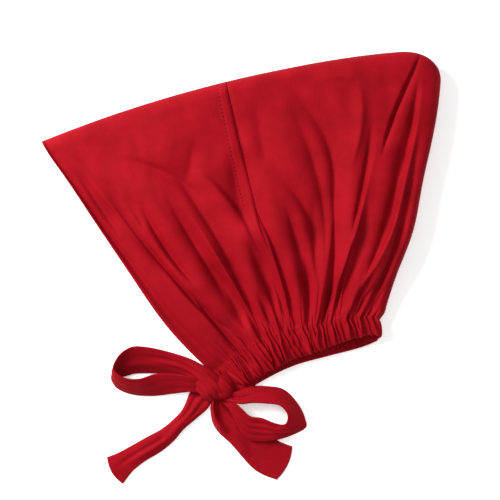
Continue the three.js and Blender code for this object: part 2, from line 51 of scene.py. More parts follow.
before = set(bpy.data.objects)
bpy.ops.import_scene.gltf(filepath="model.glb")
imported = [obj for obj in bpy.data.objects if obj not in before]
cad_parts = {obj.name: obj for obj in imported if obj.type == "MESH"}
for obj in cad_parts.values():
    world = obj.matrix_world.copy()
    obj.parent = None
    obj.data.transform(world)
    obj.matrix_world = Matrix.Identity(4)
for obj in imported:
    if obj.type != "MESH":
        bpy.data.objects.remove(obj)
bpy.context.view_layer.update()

MM = 0.001


def linear(code):
    """A colour written as sRGB hex, as linear red, green and blue."""
    shares = [int(code[k : k + 2], 16) / 255 for k in (1, 3, 5)]
    return tuple(c / 12.92 if c <= 0.04045 else ((c + 0.055) / 1.055) ** 2.4 for c in shares)


def table(columns, rows):
    """Rows of shares as one array for each named column."""
    return dict(zip(columns.split(), np.array(rows, float).T))


# Outline of the cap, as in the solid model, angles in degrees from the X axis

HEM_LENGTH = 0.168
HEM_TILT = 19.0
HEM_ARCH = (0.13, 0.085)
FACE_LENGTH = 0.273
FACE_LEAN = 126.3
BACK_LENGTH = 0.253
BACK_LEAN = 77.6
TOP_ARCH = (0.058, 0.062)
CROWN_ROUND = 0.030
SEAM = 0.5
SEAM_SHIFT = 0.008
SEAM_PULL = 0.020
SEAM_PULL_HEIGHT = (0.20, 0.44)

# Heights of the cloth, and how far the folds along the top and the back take to round over

PUFF = 0.028
HEM_PUFF = 0.018
TOP_ROLL = 0.015
TOP_SQUARE = 2.4
BACK_ROLL = 0.027
BACK_SQUARE = 2.8
LEAST_INSIDE = 0.006
INSIDE_EASE = 2.0 * MM
FLOOR_GAP = 0.1 * MM

BAND_WIDTH = 0.022
BAND_SLIP = 0.0075
PLEATS = 40

# How far the pleats' crests stand out on the near and the far layer, how far they shape the
# casing's edge there, and how far the casing laps over the cloth

CREST_SHARE = (1.5, 0.9)
CREST_ROUND = 2.0 * MM
SCALLOP = (0.30, 0.10)
BAND_LAP = 1.8 * MM
BAND_RIM = 0.2
BAND_DROP = 0.55
BAND_CROWN = 0.3

# What the seeded draws may give: pleats (the crimp is the small wave of a pleat in the casing),
# the gathers above the casing, and the ripples between the folds. Reaches of the first two are in
# metres up the cloth.

PLEAT_RANGES = {
    "shift": (-0.2, 0.2), "height": (0.65, 1.1), "slant": (-0.25, 0.10), "reach": (0.005, 0.015)}
PLEAT_SPREAD = 0.014
PLEAT_HOLLOW = 0.35
PLEAT_HOLLOW_REACH = 0.015
CRIMP_DEPTH = 0.35 * MM
CRIMP_LENGTH = 4.0 * MM
GATHERS = 60
GATHER_RANGES = {
    "shift": (-0.3, 0.3), "reach": (0.014, 0.045), "lean": (-0.35, 0.35), "bend": (-6, 6),
    "depth": (0.4, 1.0)}
RIPPLES = 16
RIPPLE_RANGES = {
    "across": (35, 150), "up": (-12, 12), "phase": (0, 2 * math.pi), "middle": (0.1, 0.85),
    "reach": (0.12, 0.3)}

TIE_WIDTH = 0.036
LEFT_LOOP = 0.103
RIGHT_LOOP = 0.090
LEFT_TAIL = 0.130
RIGHT_TAIL = 0.110
END_BULGE = 0.0036
END_ROUND = 1.2 * MM
STRIP_FLOOR = 0.8 * MM
KNOT_OFFSET = 0.0137
KNOT_BEARING = -74.0
KNOT_SIZE = (0.027, 0.022, 0.0155)
KNOT_TILT = -28.0
KNOT_FULLNESS = 1.04
KNOT_SHIFT = 1.5 * MM
KNOT_SEAT = 0.45
KNOT_RIDGES = ((0.05, 5, 1.2), (0.04, 9, -2.0))

# Guide lines that fan from the hem to the top fold: shares of the hem and of the top, and the
# sideways bow near both ends as shares of the line's length

GUIDES = table("at hem top low high", [
    (0.00, 0.000, 0.000, 0.045, 0.025),
    (0.10, 0.130, 0.045, 0.000, 0.050),
    (0.22, 0.185, 0.183, 0.050, 0.120),
    (0.32, 0.284, 0.290, 0.010, 0.260),
    (0.40, 0.360, 0.350, 0.030, 0.180),
    (0.50, 0.450, 0.461, 0.000, 0.010),
    (0.60, 0.556, 0.600, -0.020, 0.070),
    (0.70, 0.640, 0.710, -0.060, -0.045),
    (0.80, 0.750, 0.822, -0.020, -0.040),
    (0.91, 0.876, 0.920, -0.090, -0.080),
    (1.00, 1.000, 1.000, -0.020, -0.065),
])

# Soft swells of the outline that the solid model leaves out: middle and reach as shares (u, v), and
# the shift in mm

SWELLS = table("u v wide high x y", [
    (1.00, 0.33, 0.20, 0.15, 4.6, -0.6),
    (1.00, 0.02, 0.08, 0.025, 2.0, 0.0),
    (1.00, -0.02, 0.08, 0.05, -4.6, 0.4),
    (1.00, 0.80, 0.15, 0.25, 2.0, 0.0),
    (0.88, 1.00, 0.25, 0.35, 0.0, 3.4),
    (0.00, 0.22, 0.22, 0.20, -2.9, -2.1),
    (0.00, 0.96, 0.10, 0.10, -2.0, -0.6),
])

# Height of the upper layer at the hem and above it, and of the folded edge

HEIGHTS = table("at hem body edge", [
    (0.00, 0.42, 0.42, 0.10),
    (0.10, 0.50, 0.50, 0.11),
    (0.30, 0.68, 0.68, 0.14),
    (0.50, 0.82, 0.82, 0.19),
    (0.75, 0.95, 0.96, 0.29),
    (0.90, 1.00, 1.00, 0.35),
    (1.00, 0.96, 0.98, 0.38),
])

# Width of the casing's two layers along the hem, as shares of BAND_WIDTH

BAND_SHARES = table("at near far", [
    (0.00, 0.80, 0.85),
    (0.06, 1.12, 1.08),
    (0.20, 1.24, 1.13),
    (0.50, 1.16, 1.10),
    (0.72, 1.05, 1.09),
    (0.86, 0.84, 1.00),
    (0.95, 0.78, 0.88),
    (1.00, 0.78, 0.78),
])

# The turned face edge and the seam, in mm: height or depth, and where it is across the edge

HEM_BEAD = {"height": 1.2, "middle": 1.8, "half": 1.5}
HEM_GROOVE = {"height": 2.4, "middle": 7.0, "half": 2.8}
SEAM_DITCH = {"height": 1.1, "middle": 0.0, "half": 1.5}
STITCH_DENT = {"height": 0.9, "middle": -1.0, "half": 0.9}
SEAM_RAISED = 1.0 * MM
STITCHED_SHARES = (0.985, 0.52)
STITCH_WIDTH = 1.3 * MM
STITCH_HEIGHT = 0.8 * MM

# How folds fade out upwards and rise at their lower ends (shares of their length), how round their
# bottoms are, what is left of them at the hem, and how crowded ones share their depth

FOLD_FADE = (0.5, 1.04)
FOLD_RISE = (-0.04, 0.3)
FOLD_ROUND = 0.35
FOLD_AT_HEM = 0.40
FOLD_CROWDING = 0.25

# Folds of the upper layer: each valley (or ridge, with a depth below 0) runs on a bent line through
# three places (u, v), the first nearer the hem. Depth and width are shares of the fold's depth and
# width, and the lean makes its left wall steeper than its right one.

FOLDS = table("u1 v1 u2 v2 u3 v3 depth width lean", [
    # front panel, from the face edge to the seam
    (0.062, 0.58, 0.068, 0.70, 0.080, 0.86, 0.30, 1.2, 0.2),
    (0.128, 0.46, 0.116, 0.66, 0.108, 0.88, -0.35, 0.8, 0.0),
    (0.178, 0.56, 0.178, 0.64, 0.172, 0.72, 0.25, 0.8, 0.2),
    (0.214, 0.00, 0.208, 0.15, 0.192, 0.31, 1.30, 0.7, 0.3),
    (0.206, 0.14, 0.144, 0.38, 0.130, 0.72, 0.80, 0.9, 0.2),
    (0.246, 0.30, 0.217, 0.48, 0.223, 0.68, 0.90, 0.9, 0.3),
    (0.302, 0.18, 0.331, 0.36, 0.337, 0.68, 0.95, 1.0, 0.3),
    (0.298, 0.06, 0.335, 0.23, 0.340, 0.38, 1.35, 1.5, 0.2),
    (0.342, -0.06, 0.392, 0.17, 0.404, 0.42, 1.00, 0.7, 0.4),
    (0.400, 0.18, 0.409, 0.48, 0.372, 0.76, 0.75, 0.7, 0.4),
    (0.358, 0.06, 0.381, 0.28, 0.370, 0.62, -0.45, 0.6, 0.0),
    (0.424, 0.56, 0.340, 0.75, 0.205, 0.84, 0.55, 0.9, -0.3),
    (0.488, 0.34, 0.462, 0.53, 0.420, 0.74, -0.50, 0.6, 0.0),
    (0.484, 0.36, 0.466, 0.55, 0.425, 0.72, 0.60, 0.5, 0.3),
    (0.400, 0.66, 0.420, 0.745, 0.438, 0.84, 0.35, 0.8, 0.2),
    (0.472, 0.42, 0.478, 0.56, 0.488, 0.74, 0.95, 0.9, 0.2),
    (0.488, 0.10, 0.476, 0.23, 0.473, 0.40, 0.95, 0.8, 0.3),
    (0.417, -0.02, 0.440, 0.09, 0.444, 0.21, 0.85, 0.9, 0.3),
    (0.300, -0.08, 0.262, 0.06, 0.215, 0.16, 0.60, 0.5, 0.4),
    (0.346, -0.06, 0.359, 0.10, 0.363, 0.24, 0.75, 0.7, 0.3),
    (0.405, -0.10, 0.402, 0.05, 0.396, 0.18, 0.40, 0.5, 0.3),
    (0.258, -0.10, 0.252, 0.02, 0.240, 0.10, 0.45, 0.5, 0.3),
    (0.486, 0.00, 0.483, 0.20, 0.474, 0.38, 0.95, 0.9, 0.3),
    (0.526, -0.02, 0.502, 0.26, 0.466, 0.50, 0.75, 0.6, 0.3),
    (-0.01, 0.014, 0.040, 0.004, 0.088, 0.008, 0.90, 0.4, 0.0),
    # crown bag, from the seam to the back fold
    (0.556, -0.04, 0.538, 0.25, 0.490, 0.60, 0.80, 0.5, 0.4),
    (0.540, 0.02, 0.527, 0.27, 0.495, 0.60, -0.45, 0.5, 0.0),
    (0.515, 0.28, 0.513, 0.62, 0.511, 0.99, 0.20, 0.4, 0.3),
    (0.624, 0.10, 0.613, 0.29, 0.596, 0.50, 1.10, 0.8, 0.3),
    (0.627, -0.06, 0.630, 0.10, 0.618, 0.27, 1.10, 0.8, 0.3),
    (0.670, 0.26, 0.639, 0.46, 0.585, 0.62, 0.80, 0.8, 0.3),
    (0.563, 0.64, 0.560, 0.78, 0.556, 0.91, 0.25, 1.0, 0.2),
    (0.668, 0.16, 0.655, 0.35, 0.664, 0.52, 0.60, 0.7, 0.3),
    (0.690, 0.22, 0.673, 0.55, 0.630, 0.86, 0.80, 0.8, 0.3),
    (0.706, 0.40, 0.698, 0.68, 0.618, 0.94, 1.05, 1.0, 0.3),
    (0.727, -0.02, 0.719, 0.24, 0.706, 0.58, 1.15, 0.8, 0.4),
    (0.698, -0.06, 0.724, 0.07, 0.728, 0.20, 0.90, 0.7, 0.3),
    (0.761, 0.58, 0.786, 0.79, 0.766, 0.93, -0.28, 0.7, 0.0),
    (0.778, 0.905, 0.735, 0.925, 0.670, 0.930, -0.15, 0.7, 0.0),
    (0.787, 0.32, 0.807, 0.53, 0.812, 0.76, 0.70, 0.5, 0.4),
    (0.786, 0.18, 0.811, 0.44, 0.834, 0.72, -0.45, 0.5, 0.0),
    (0.789, 0.02, 0.819, 0.25, 0.824, 0.50, 0.70, 0.7, 0.3),
    (0.764, -0.02, 0.790, 0.21, 0.800, 0.46, 0.60, 0.6, 0.3),
    (0.768, 0.12, 0.793, 0.30, 0.811, 0.50, -0.40, 0.45, 0.0),
    (0.845, 0.62, 0.872, 0.80, 0.966, 1.02, 0.70, 0.20, 0.5),
    (0.896, 0.52, 0.908, 0.70, 0.930, 0.90, 0.85, 0.6, 0.4),
    (0.879, 0.28, 0.888, 0.52, 0.901, 0.76, 0.85, 0.7, 0.3),
    (0.878, 0.18, 0.906, 0.47, 0.944, 0.94, -0.60, 0.6, 0.0),
    (0.918, 0.20, 0.926, 0.45, 0.946, 0.72, 0.70, 0.8, 0.3),
    (0.864, 0.14, 0.871, 0.30, 0.878, 0.50, 0.75, 0.7, 0.3),
    (0.832, -0.02, 0.873, 0.18, 0.895, 0.48, -0.45, 0.5, 0.0),
    (0.916, -0.04, 0.925, 0.15, 0.920, 0.38, 0.80, 0.7, 0.3),
    (0.845, -0.04, 0.860, 0.09, 0.882, 0.20, 0.95, 0.5, 0.4),
    (0.780, -0.10, 0.781, 0.06, 0.785, 0.22, 0.45, 0.5, 0.3),
    (0.802, -0.10, 0.807, 0.08, 0.815, 0.21, 0.55, 0.5, 0.3),
    (0.875, -0.08, 0.886, 0.05, 0.908, 0.15, 0.60, 0.5, 0.3),
    (0.935, -0.08, 0.946, 0.04, 0.960, 0.13, 0.60, 0.5, 0.3),
])

# Sections of the tied strips from the knot: shares of the strip's length along its bearing and
# aside of it, its width seen from above and the heights of its two edges and of its arch as
# shares of TIE_WIDTH, and the heading of its width from the bearing in degrees

STRIP_COLUMNS = "along aside spread heading first second arch"

LEFT_LOOP_BEARING = 171.0
LEFT_LOOP_SECTIONS = table(STRIP_COLUMNS, [
    (-0.011, 0.096, 0.48, -166, 0.01, 0.01, 0.02),
    (-0.013, 0.112, 0.54, -164, 0.08, 0.08, 0.05),
    (0.004, 0.076, 0.60, -150, 0.19, 0.20, 0.11),
    (0.055, 0.018, 0.66, -130, 0.25, 0.28, 0.15),
    (0.135, -0.043, 0.68, -118, 0.20, 0.32, 0.12),
    (0.225, -0.088, 0.64, -104, 0.12, 0.35, 0.08),
    (0.310, -0.125, 0.60, -90, 0.06, 0.37, 0.05),
    (0.470, -0.150, 0.62, -81, 0.02, 0.37, 0.04),
    (0.650, -0.148, 0.70, -83, 0.01, 0.37, 0.03),
    (0.790, -0.130, 0.75, -83, 0.01, 0.39, 0.02),
    (0.877, -0.088, 0.74, -86, 0.01, 0.43, 0.00),
    (0.945, -0.045, 0.58, -92, 0.01, 0.46, 0.00),
    (0.975, 0.018, 0.36, -97, 0.01, 0.44, 0.00),
    (0.925, 0.081, 0.40, -92, 0.01, 0.42, 0.00),
    (0.830, 0.113, 0.41, -93, 0.01, 0.40, 0.02),
    (0.715, 0.108, 0.48, -91, 0.01, 0.38, 0.03),
    (0.570, 0.066, 0.61, -84, 0.01, 0.38, 0.03),
    (0.390, 0.025, 0.54, -85, 0.07, 0.38, 0.03),
    (0.240, 0.010, 0.40, -87, 0.16, 0.38, 0.02),
    (0.100, 0.020, 0.34, -85, 0.15, 0.26, 0.02),
])

RIGHT_LOOP_BEARING = -27.0
RIGHT_LOOP_SECTIONS = table(STRIP_COLUMNS, [
    (0.08, -0.05, 0.26, 117, 0.20, 0.12, 0.02),
    (0.24, 0.01, 0.34, 126, 0.33, 0.15, 0.04),
    (0.34, 0.09, 0.41, 124, 0.36, 0.10, 0.05),
    (0.48, 0.16, 0.42, 113, 0.38, 0.04, 0.04),
    (0.64, 0.21, 0.40, 98, 0.38, 0.02, 0.03),
    (0.79, 0.16, 0.36, 57, 0.38, 0.02, 0.03),
    (0.88, 0.08, 0.47, 24, 0.35, 0.02, 0.03),
    (0.90, 0.00, 0.56, 12, 0.31, 0.03, 0.03),
    (0.78, -0.11, 0.46, -36, 0.29, 0.12, 0.04),
    (0.62, -0.18, 0.64, -58, 0.30, 0.13, 0.05),
    (0.475, -0.225, 0.62, -71, 0.32, 0.14, 0.05),
    (0.335, -0.168, 0.46, -80, 0.32, 0.18, 0.04),
    (0.210, -0.100, 0.27, -88, 0.28, 0.18, 0.02),
    (0.095, -0.062, 0.34, -94, 0.16, 0.10, 0.02),
])

LEFT_TAIL_BEARING = -141.0
LEFT_TAIL_SECTIONS = table(STRIP_COLUMNS, [
    (0.06, -0.03, 0.35, 100, 0.06, 0.06, 0.02),
    (0.15, -0.02, 0.66, 92, 0.01, 0.02, 0.05),
    (0.29, 0.02, 0.44, 104, 0.00, 0.04, 0.09),
    (0.40, 0.03, 0.39, 104, 0.00, 0.03, 0.09),
    (0.51, 0.04, 0.46, 98, 0.00, 0.01, 0.06),
    (0.63, 0.03, 0.54, 94, 0.00, 0.00, 0.05),
    (0.76, 0.01, 0.55, 92, 0.00, 0.00, 0.04),
    (0.87, 0.00, 0.62, 88, 0.00, 0.00, 0.02),
    (0.97, 0.00, 0.82, 82, 0.00, 0.00, 0.00),
])

RIGHT_TAIL_BEARING = -49.0
RIGHT_TAIL_SECTIONS = table(STRIP_COLUMNS, [
    (0.060, -0.060, 0.30, 60, 0.05, 0.06, 0.02),
    (0.123, -0.106, 0.46, 70, 0.02, 0.02, 0.04),
    (0.227, -0.130, 0.69, 76, 0.00, 0.00, 0.03),
    (0.342, -0.121, 0.85, 76, 0.00, 0.00, 0.02),
    (0.461, -0.089, 0.93, 85, 0.00, 0.00, 0.01),
    (0.68, -0.08, 0.98, 96, 0.00, 0.00, 0.01),
    (0.78, -0.05, 1.00, 104, 0.00, 0.00, 0.01),
    (0.87, 0.00, 0.98, 114, 0.00, 0.00, 0.00),
])

# Creases and rolls along the tie strips: place and half width across the strip, height as a share
# of TIE_WIDTH (below 0 for a crease), and where along the strip it starts and ends

CREASE_COLUMNS = "share width height start end"

CREASES = {
    "bow_loop_left": table(CREASE_COLUMNS, [
        (0.26, 0.07, -0.040, -0.10, 0.34),
        (0.52, 0.08, -0.045, -0.10, 0.42),
        (0.78, 0.07, -0.035, -0.10, 0.26),
        (0.36, 0.12, -0.030, 0.26, 0.56),
        (0.66, 0.10, 0.020, 0.20, 0.44),
        (0.30, 0.10, -0.030, 0.76, 1.10),
        (0.66, 0.10, -0.025, 0.72, 1.10),
    ]),
    "bow_loop_right": table(CREASE_COLUMNS, [
        (0.46, 0.12, -0.070, -0.10, 0.26),
        (0.80, 0.10, 0.030, -0.10, 0.30),
        (0.24, 0.07, -0.035, 0.56, 1.10),
        (0.48, 0.07, -0.040, 0.60, 1.10),
        (0.72, 0.07, -0.035, 0.58, 1.10),
        (0.60, 0.10, -0.020, 0.28, 0.52),
    ]),
    "tie_tail_left": table(CREASE_COLUMNS, [
        (0.46, 0.09, -0.040, 0.46, 1.00),
        (0.66, 0.12, 0.035, 0.30, 0.90),
        (0.36, 0.12, -0.045, -0.10, 0.42),
        (0.72, 0.10, -0.030, -0.10, 0.34),
    ]),
    "tie_tail_right": table(CREASE_COLUMNS, [
        (0.17, 0.12, 0.120, -0.10, 0.42),
        (0.17, 0.14, 0.080, -0.10, 0.72),
        (0.62, 0.16, 0.060, -0.10, 0.60),
        (0.70, 0.10, 0.030, 0.30, 0.80),
    ]),
}

# Patterns of the materials, in mm: the spacing of the knit's wales (closed up where the casing is
# gathered) or of the thread's twist, soft clouds of the dye, tufts of fibre, and the floor's clouds

WALES = {
    "modal_jersey": 1.1,
    "jersey_tie_strip": 1.1,
    "gathered_jersey_casing": 1.0,
    "spun_polyester_thread": 0.6,
}
COURSES = 1.3
DYE_CLOUD = 26.316
FIBRE_TUFT = 1.1111
FLOOR_CLOUD = 111.11
WAVE_TURN = 1 / (2 * math.pi)

# Curves and outline


def smooth(x, low, high):
    t = np.clip((np.asarray(x, float) - low) / (high - low), 0, 1)
    return t * t * (3 - 2 * t)


def mix(a, b, share):
    return a + (b - a) * share


def curve(a, b, leaving, arriving, t):
    """A smooth curve from a to b, with its slopes at both ends counted per step."""
    rise = t * t * (3 - 2 * t)
    return a + (b - a) * rise + leaving * t * (1 - t) ** 2 - arriving * t * t * (1 - t)


def read(rows, column, place):
    """A column at any place between the rows, on one smooth curve through them."""
    at, values = rows["at"], rows[column]
    place = np.asarray(place, float)
    slopes = np.gradient(values, at)
    k = np.clip(np.searchsorted(at, place, side="right") - 1, 0, len(at) - 2)
    span = at[k + 1] - at[k]
    t = (place - at[k]) / span
    return curve(values[k], values[k + 1], slopes[k] * span, slopes[k + 1] * span, t)


def bump_at(place, height, middle, half):
    """A soft bump across a line: all in mm but the height that comes out, in metres."""
    return height * MM * np.exp(-(((place - middle) / half) ** 2))


def toward(angle, length):
    turn = math.radians(angle)
    return np.array([math.cos(turn), math.sin(turn)]) * length


def bowed(a, b, share, low, high):
    """A point at a share of the way from a to b, on a line bowed to the left of that way."""
    way = b - a
    left = np.stack([-way[..., 1], way[..., 0]], -1)
    aside = low * 3 * share * (1 - share) ** 2 + high * 3 * share**2 * (1 - share)
    return a + way * share[..., None] + left * aside[..., None]


NAPE = toward(HEM_TILT, HEM_LENGTH)
FOREHEAD = toward(FACE_LEAN, FACE_LENGTH)
CROWN = NAPE + toward(BACK_LEAN, BACK_LENGTH)
TOP_LENGTH = float(np.linalg.norm(CROWN - FOREHEAD))
MIDDLE_LENGTH = (HEM_LENGTH + TOP_LENGTH) / 2


def round_corner(u, v):
    zone_u = CROWN_ROUND / MIDDLE_LENGTH
    zone_v = CROWN_ROUND / BACK_LENGTH
    a = np.clip((u - 1 + zone_u) / zone_u, 0, None)
    b = np.clip((v - 1 + zone_v) / zone_v, 0, None)
    drawn_u = 1 - zone_u + zone_u * a * np.sqrt(1 - np.clip(b * b / 2, 0, 1))
    drawn_v = 1 - zone_v + zone_v * b * np.sqrt(1 - np.clip(a * a / 2, 0, 1))
    return np.where(a > 0, drawn_u, u), np.where(b > 0, drawn_v, v)


def plan_from_corner(u, v):
    """The place of (u, v) seen from above, counted from the tie corner."""
    u, v = np.broadcast_arrays(np.asarray(u, float), np.asarray(v, float))
    across, up = round_corner(u, v)
    start = np.zeros(across.shape + (2,))
    hem = bowed(start, start + NAPE, read(GUIDES, "hem", across), *HEM_ARCH)
    top = bowed(start + FOREHEAD, start + CROWN, read(GUIDES, "top", across), *TOP_ARCH)
    return bowed(hem, top, up, read(GUIDES, "low", across), read(GUIDES, "high", across))


def tie_corner():
    """Where the tie corner lies in the frame, from the boxes of the two cloth nodes."""
    panel_low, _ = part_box("front_panel")
    _, bag_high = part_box("crown_bag")
    shares = np.linspace(0, 1, 401)
    face = plan_from_corner(0 * shares, shares)
    top = plan_from_corner(shares, 1 + 0 * shares)
    return np.array([panel_low[0] - face[:, 0].min(), bag_high[1] - top[:, 1].max()])


TIE_CORNER = tie_corner()
KNOT_MIDDLE = TIE_CORNER + toward(KNOT_BEARING, KNOT_OFFSET)


def plan(u, v):
    place = TIE_CORNER + plan_from_corner(u, v)
    for u0, v0, wide, high, x, y in zip(*SWELLS.values()):
        share = np.exp(-(((u - u0) / wide) ** 2) - ((v - v0) / high) ** 2)
        place = place + share[..., None] * np.array([x, y]) * MM
    return place


def seam_at(v):
    """The seam's share u: it is drawn towards the back where the elastic gathers the hem."""
    return SEAM + SEAM_SHIFT + SEAM_PULL * (1 - smooth(v, *SEAM_PULL_HEIGHT))


def outward(u):
    """Unit direction out of the hem, square to it, seen from above."""
    step = 0.01
    along = plan(np.minimum(1, u + step), 0) - plan(np.maximum(0, u - step), 0)
    away = np.stack([along[..., 1], -along[..., 0]], -1)
    return away / np.linalg.norm(away, axis=-1, keepdims=True)


# Heights of the cloth


def fullness(u, v):
    """1 over most of the cloth, and down to 0 where both layers meet at the folds."""
    width = mix(HEM_LENGTH, TOP_LENGTH, v)
    top = np.clip(1 - (1 - v) * BACK_LENGTH / TOP_ROLL, 0, 1)
    back = np.clip(1 - (1 - u) * width / BACK_ROLL, 0, 1)
    over_top = (1 - top**TOP_SQUARE) ** (1 / TOP_SQUARE)
    return over_top * (1 - back**BACK_SQUARE) ** (1 / BACK_SQUARE)


def fold_depth(u, v, sizes):
    """How far the folds press into the cloth, from the bent lines of FOLDS."""
    x, y = u * MIDDLE_LENGTH, v * BACK_LENGTH
    total = np.zeros(np.broadcast(u, v).shape)
    for u1, v1, u2, v2, u3, v3, depth, width, lean in zip(*FOLDS.values()):
        start, middle, end = (
            np.array([a * MIDDLE_LENGTH, b * BACK_LENGTH]) for a, b in ((u1, v1), (u2, v2), (u3, v3))
        )
        length = np.hypot(*(end - start))
        way = (end - start) / length
        right = np.array([way[1], -way[0]])
        turn = float((middle - start) @ way) / length
        bend = float((middle - start) @ right) / (turn * (1 - turn))
        share = ((x - start[0]) * way[0] + (y - start[1]) * way[1]) / length
        aside = (x - start[0]) * right[0] + (y - start[1]) * right[1] - bend * share * (1 - share)
        wall = width * sizes.fold_width * np.where(aside < 0, 1 - lean, 1 + lean)
        ends = 1 - smooth(share, *FOLD_FADE)
        if v1 > 0:
            ends = ends * smooth(share, *FOLD_RISE)
        total += depth * ends * np.exp(FOLD_ROUND - np.hypot(aside / wall, FOLD_ROUND))
    lower = mix(FOLD_AT_HEM, 1, smooth(v, 0, 0.13))
    return sizes.fold_depth * lower * total / (1 + FOLD_CROWDING * np.maximum(total, 0))


def pleats(u, y, sizes):
    """The elastic's pleats at a distance y above (or below) the hem line: thin crests that start in
    the casing, each with its own height and slant, and die out at different lengths in the cloth."""
    rng = np.random.default_rng(5)
    total = np.zeros(np.broadcast(u, y).shape)
    above = np.maximum(y, 0)
    for k in range(PLEATS):
        middle = (k + 0.5 + rng.uniform(*PLEAT_RANGES["shift"])) / PLEATS
        height = rng.uniform(*PLEAT_RANGES["height"])
        slant = rng.uniform(*PLEAT_RANGES["slant"])
        reach = rng.uniform(*PLEAT_RANGES["reach"]) * (2 if k % 3 == 0 else 1)
        wave = CRIMP_DEPTH * np.sin(y / CRIMP_LENGTH + rng.uniform(0, 6.3)) * (y < 0)
        aside = (u - middle) * HEM_LENGTH - slant * y - wave
        width = sizes.pleat_width * (1 + above / PLEAT_SPREAD)
        total += height * np.exp(-above / reach) * np.exp(-((aside / width) ** 2))
    return sizes.pleat_depth * (total - PLEAT_HOLLOW * np.exp(-above / PLEAT_HOLLOW_REACH))


def gathers(u, v, sizes):
    """Short folds that the elastic draws into the cloth: each runs up a different length."""
    y = v * BACK_LENGTH
    fade = smooth(u, 0.0, 0.08)
    total = pleats(u, y, sizes)
    rng = np.random.default_rng(7)
    for k in range(GATHERS):
        middle = (k + 0.5 + rng.uniform(*GATHER_RANGES["shift"])) / GATHERS
        reach = rng.uniform(*GATHER_RANGES["reach"]) * (1.8 if k % 4 == 0 else 1)
        lean = rng.uniform(*GATHER_RANGES["lean"])
        bend = rng.uniform(*GATHER_RANGES["bend"])
        width = mix(0.35, 0.9, np.clip(y / reach, 0, 1)) / GATHERS
        aside = (u - middle - lean * y - bend * y**2) / width
        side = np.where(aside < 0, aside * 1.5, aside * 0.8)
        reach = reach * mix(0.45, 1, smooth(middle, 0.25, 0.5))
        rise = smooth(y, -0.001, 0.006) * np.exp(-((y / reach) ** 2))
        depth = sizes.gather_depth * rng.uniform(*GATHER_RANGES["depth"])
        total -= depth * np.exp(-np.abs(side) ** 1.5) * rise
    return total * fade


def wrinkles(u, v, sizes):
    """Faint long ripples beside the folds, and the soft dents of cloth that was put down by hand."""
    rng = np.random.default_rng(3)
    total = np.zeros(np.broadcast(u, v).shape)
    for _ in range(RIPPLES):
        across, up, phase, middle, reach = (rng.uniform(*limits) for limits in RIPPLE_RANGES.values())
        patch = np.exp(-(((v - middle) / reach) ** 2)) * (0.4 + 0.6 * np.sin(5 * u + phase) ** 2)
        total += np.sin(across * u + up * v + phase + 1.5 * np.sin(6 * v + phase)) * patch
    dents = np.sin(11 * u + 3 * v) * np.sin(9 * v - 5 * u + 1) + np.sin(17 * u - 8 * v + 2)
    return sizes.ripple_depth * (total / 3 + dents)


def face_hem(u, v):
    """The turned face edge: a round bead, then a groove where its stitching pulls the cloth in."""
    away = u * mix(HEM_LENGTH, TOP_LENGTH, v) / MM
    bead = bump_at(away, **HEM_BEAD)
    return bead - bump_at(away, **HEM_GROOVE) * (1 - 0.5 * smooth(v, 0.6, 0.9))


def seam_relief(u, v, sizes):
    """The seam's turned allowance on the panel's side, and the ditch that it falls into."""
    away = (seam_at(v) - u) * mix(HEM_LENGTH, TOP_LENGTH, v) / MM
    far = sizes.seam_allowance / MM
    raised = smooth(away, -1.0, 2.0) * (1 - smooth(away, far - 1.0, far + 0.4))
    ditch = bump_at(away, **SEAM_DITCH)
    stitched = bump_at(away - far, **STITCH_DENT)
    return smooth(v, 0.05, 0.3) * (SEAM_RAISED * raised - ditch - stitched)


def upper_height(u, v, sizes):
    rise = smooth(v, -0.05, 0.3)
    base = mix(HEM_PUFF * read(HEIGHTS, "hem", u), PUFF * read(HEIGHTS, "body", u), rise)
    folded = base - fold_depth(u, v, sizes) + gathers(u, v, sizes) + wrinkles(u, v, sizes)
    limit = LEAST_INSIDE + INSIDE_EASE
    low = LEAST_INSIDE + INSIDE_EASE * np.exp((np.minimum(folded, limit) - limit) / INSIDE_EASE)
    return np.where(folded > limit, folded, low)


def edge_height(u, v):
    share = smooth(v, 0, 0.3)
    return mix(HEM_PUFF * read(HEIGHTS, "hem", u) / 2, PUFF * read(HEIGHTS, "edge", u), share)


def cloth_point(u, v, layer, sizes):
    """Points on the cloth: layer 1 is the upper one and layer -1 the lower one."""
    full = fullness(u, v)
    edge = edge_height(u, v)
    slip = BAND_SLIP * (1 - layer * full) / 2 * np.clip(1 - v / 0.4, 0, 1) ** 2
    place = plan(u, v) + outward(u) * slip[..., None]
    relief = face_hem(u, v) + seam_relief(u, v, sizes)
    top = edge + (upper_height(u, v, sizes) + relief - edge) * full
    bottom = edge * (1 - full) + np.clip(0.5 * gathers(u, v, sizes), 0, 2 * MM) * full
    return np.concatenate([place, np.where(layer > 0, top, bottom)[..., None]], -1)


# Mesh and material helpers

CLOTH_COLUMNS = 210
NEAR_ROWS = 170
FAR_ROWS = 40
PLEAT_STEPS = 36
BAND_RING = 36
STRIP_STEPS = 20
STRIP_RING = 56


def new_piece(name, mesh_builder, *nodes, slot_name, material):
    """A finished bmesh as an object at the origin that rides on the root body."""
    mesh = bpy.data.meshes.new(name)
    mesh_builder.to_mesh(mesh)
    mesh_builder.free()
    piece = bpy.data.objects.new(name, mesh)
    bpy.context.scene.collection.objects.link(piece)
    mesh.materials.append(material)
    mesh.polygons.foreach_set("use_smooth", np.ones(len(mesh.polygons), bool))
    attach(piece, "root")
    if nodes:
        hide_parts(*nodes)
    return piece


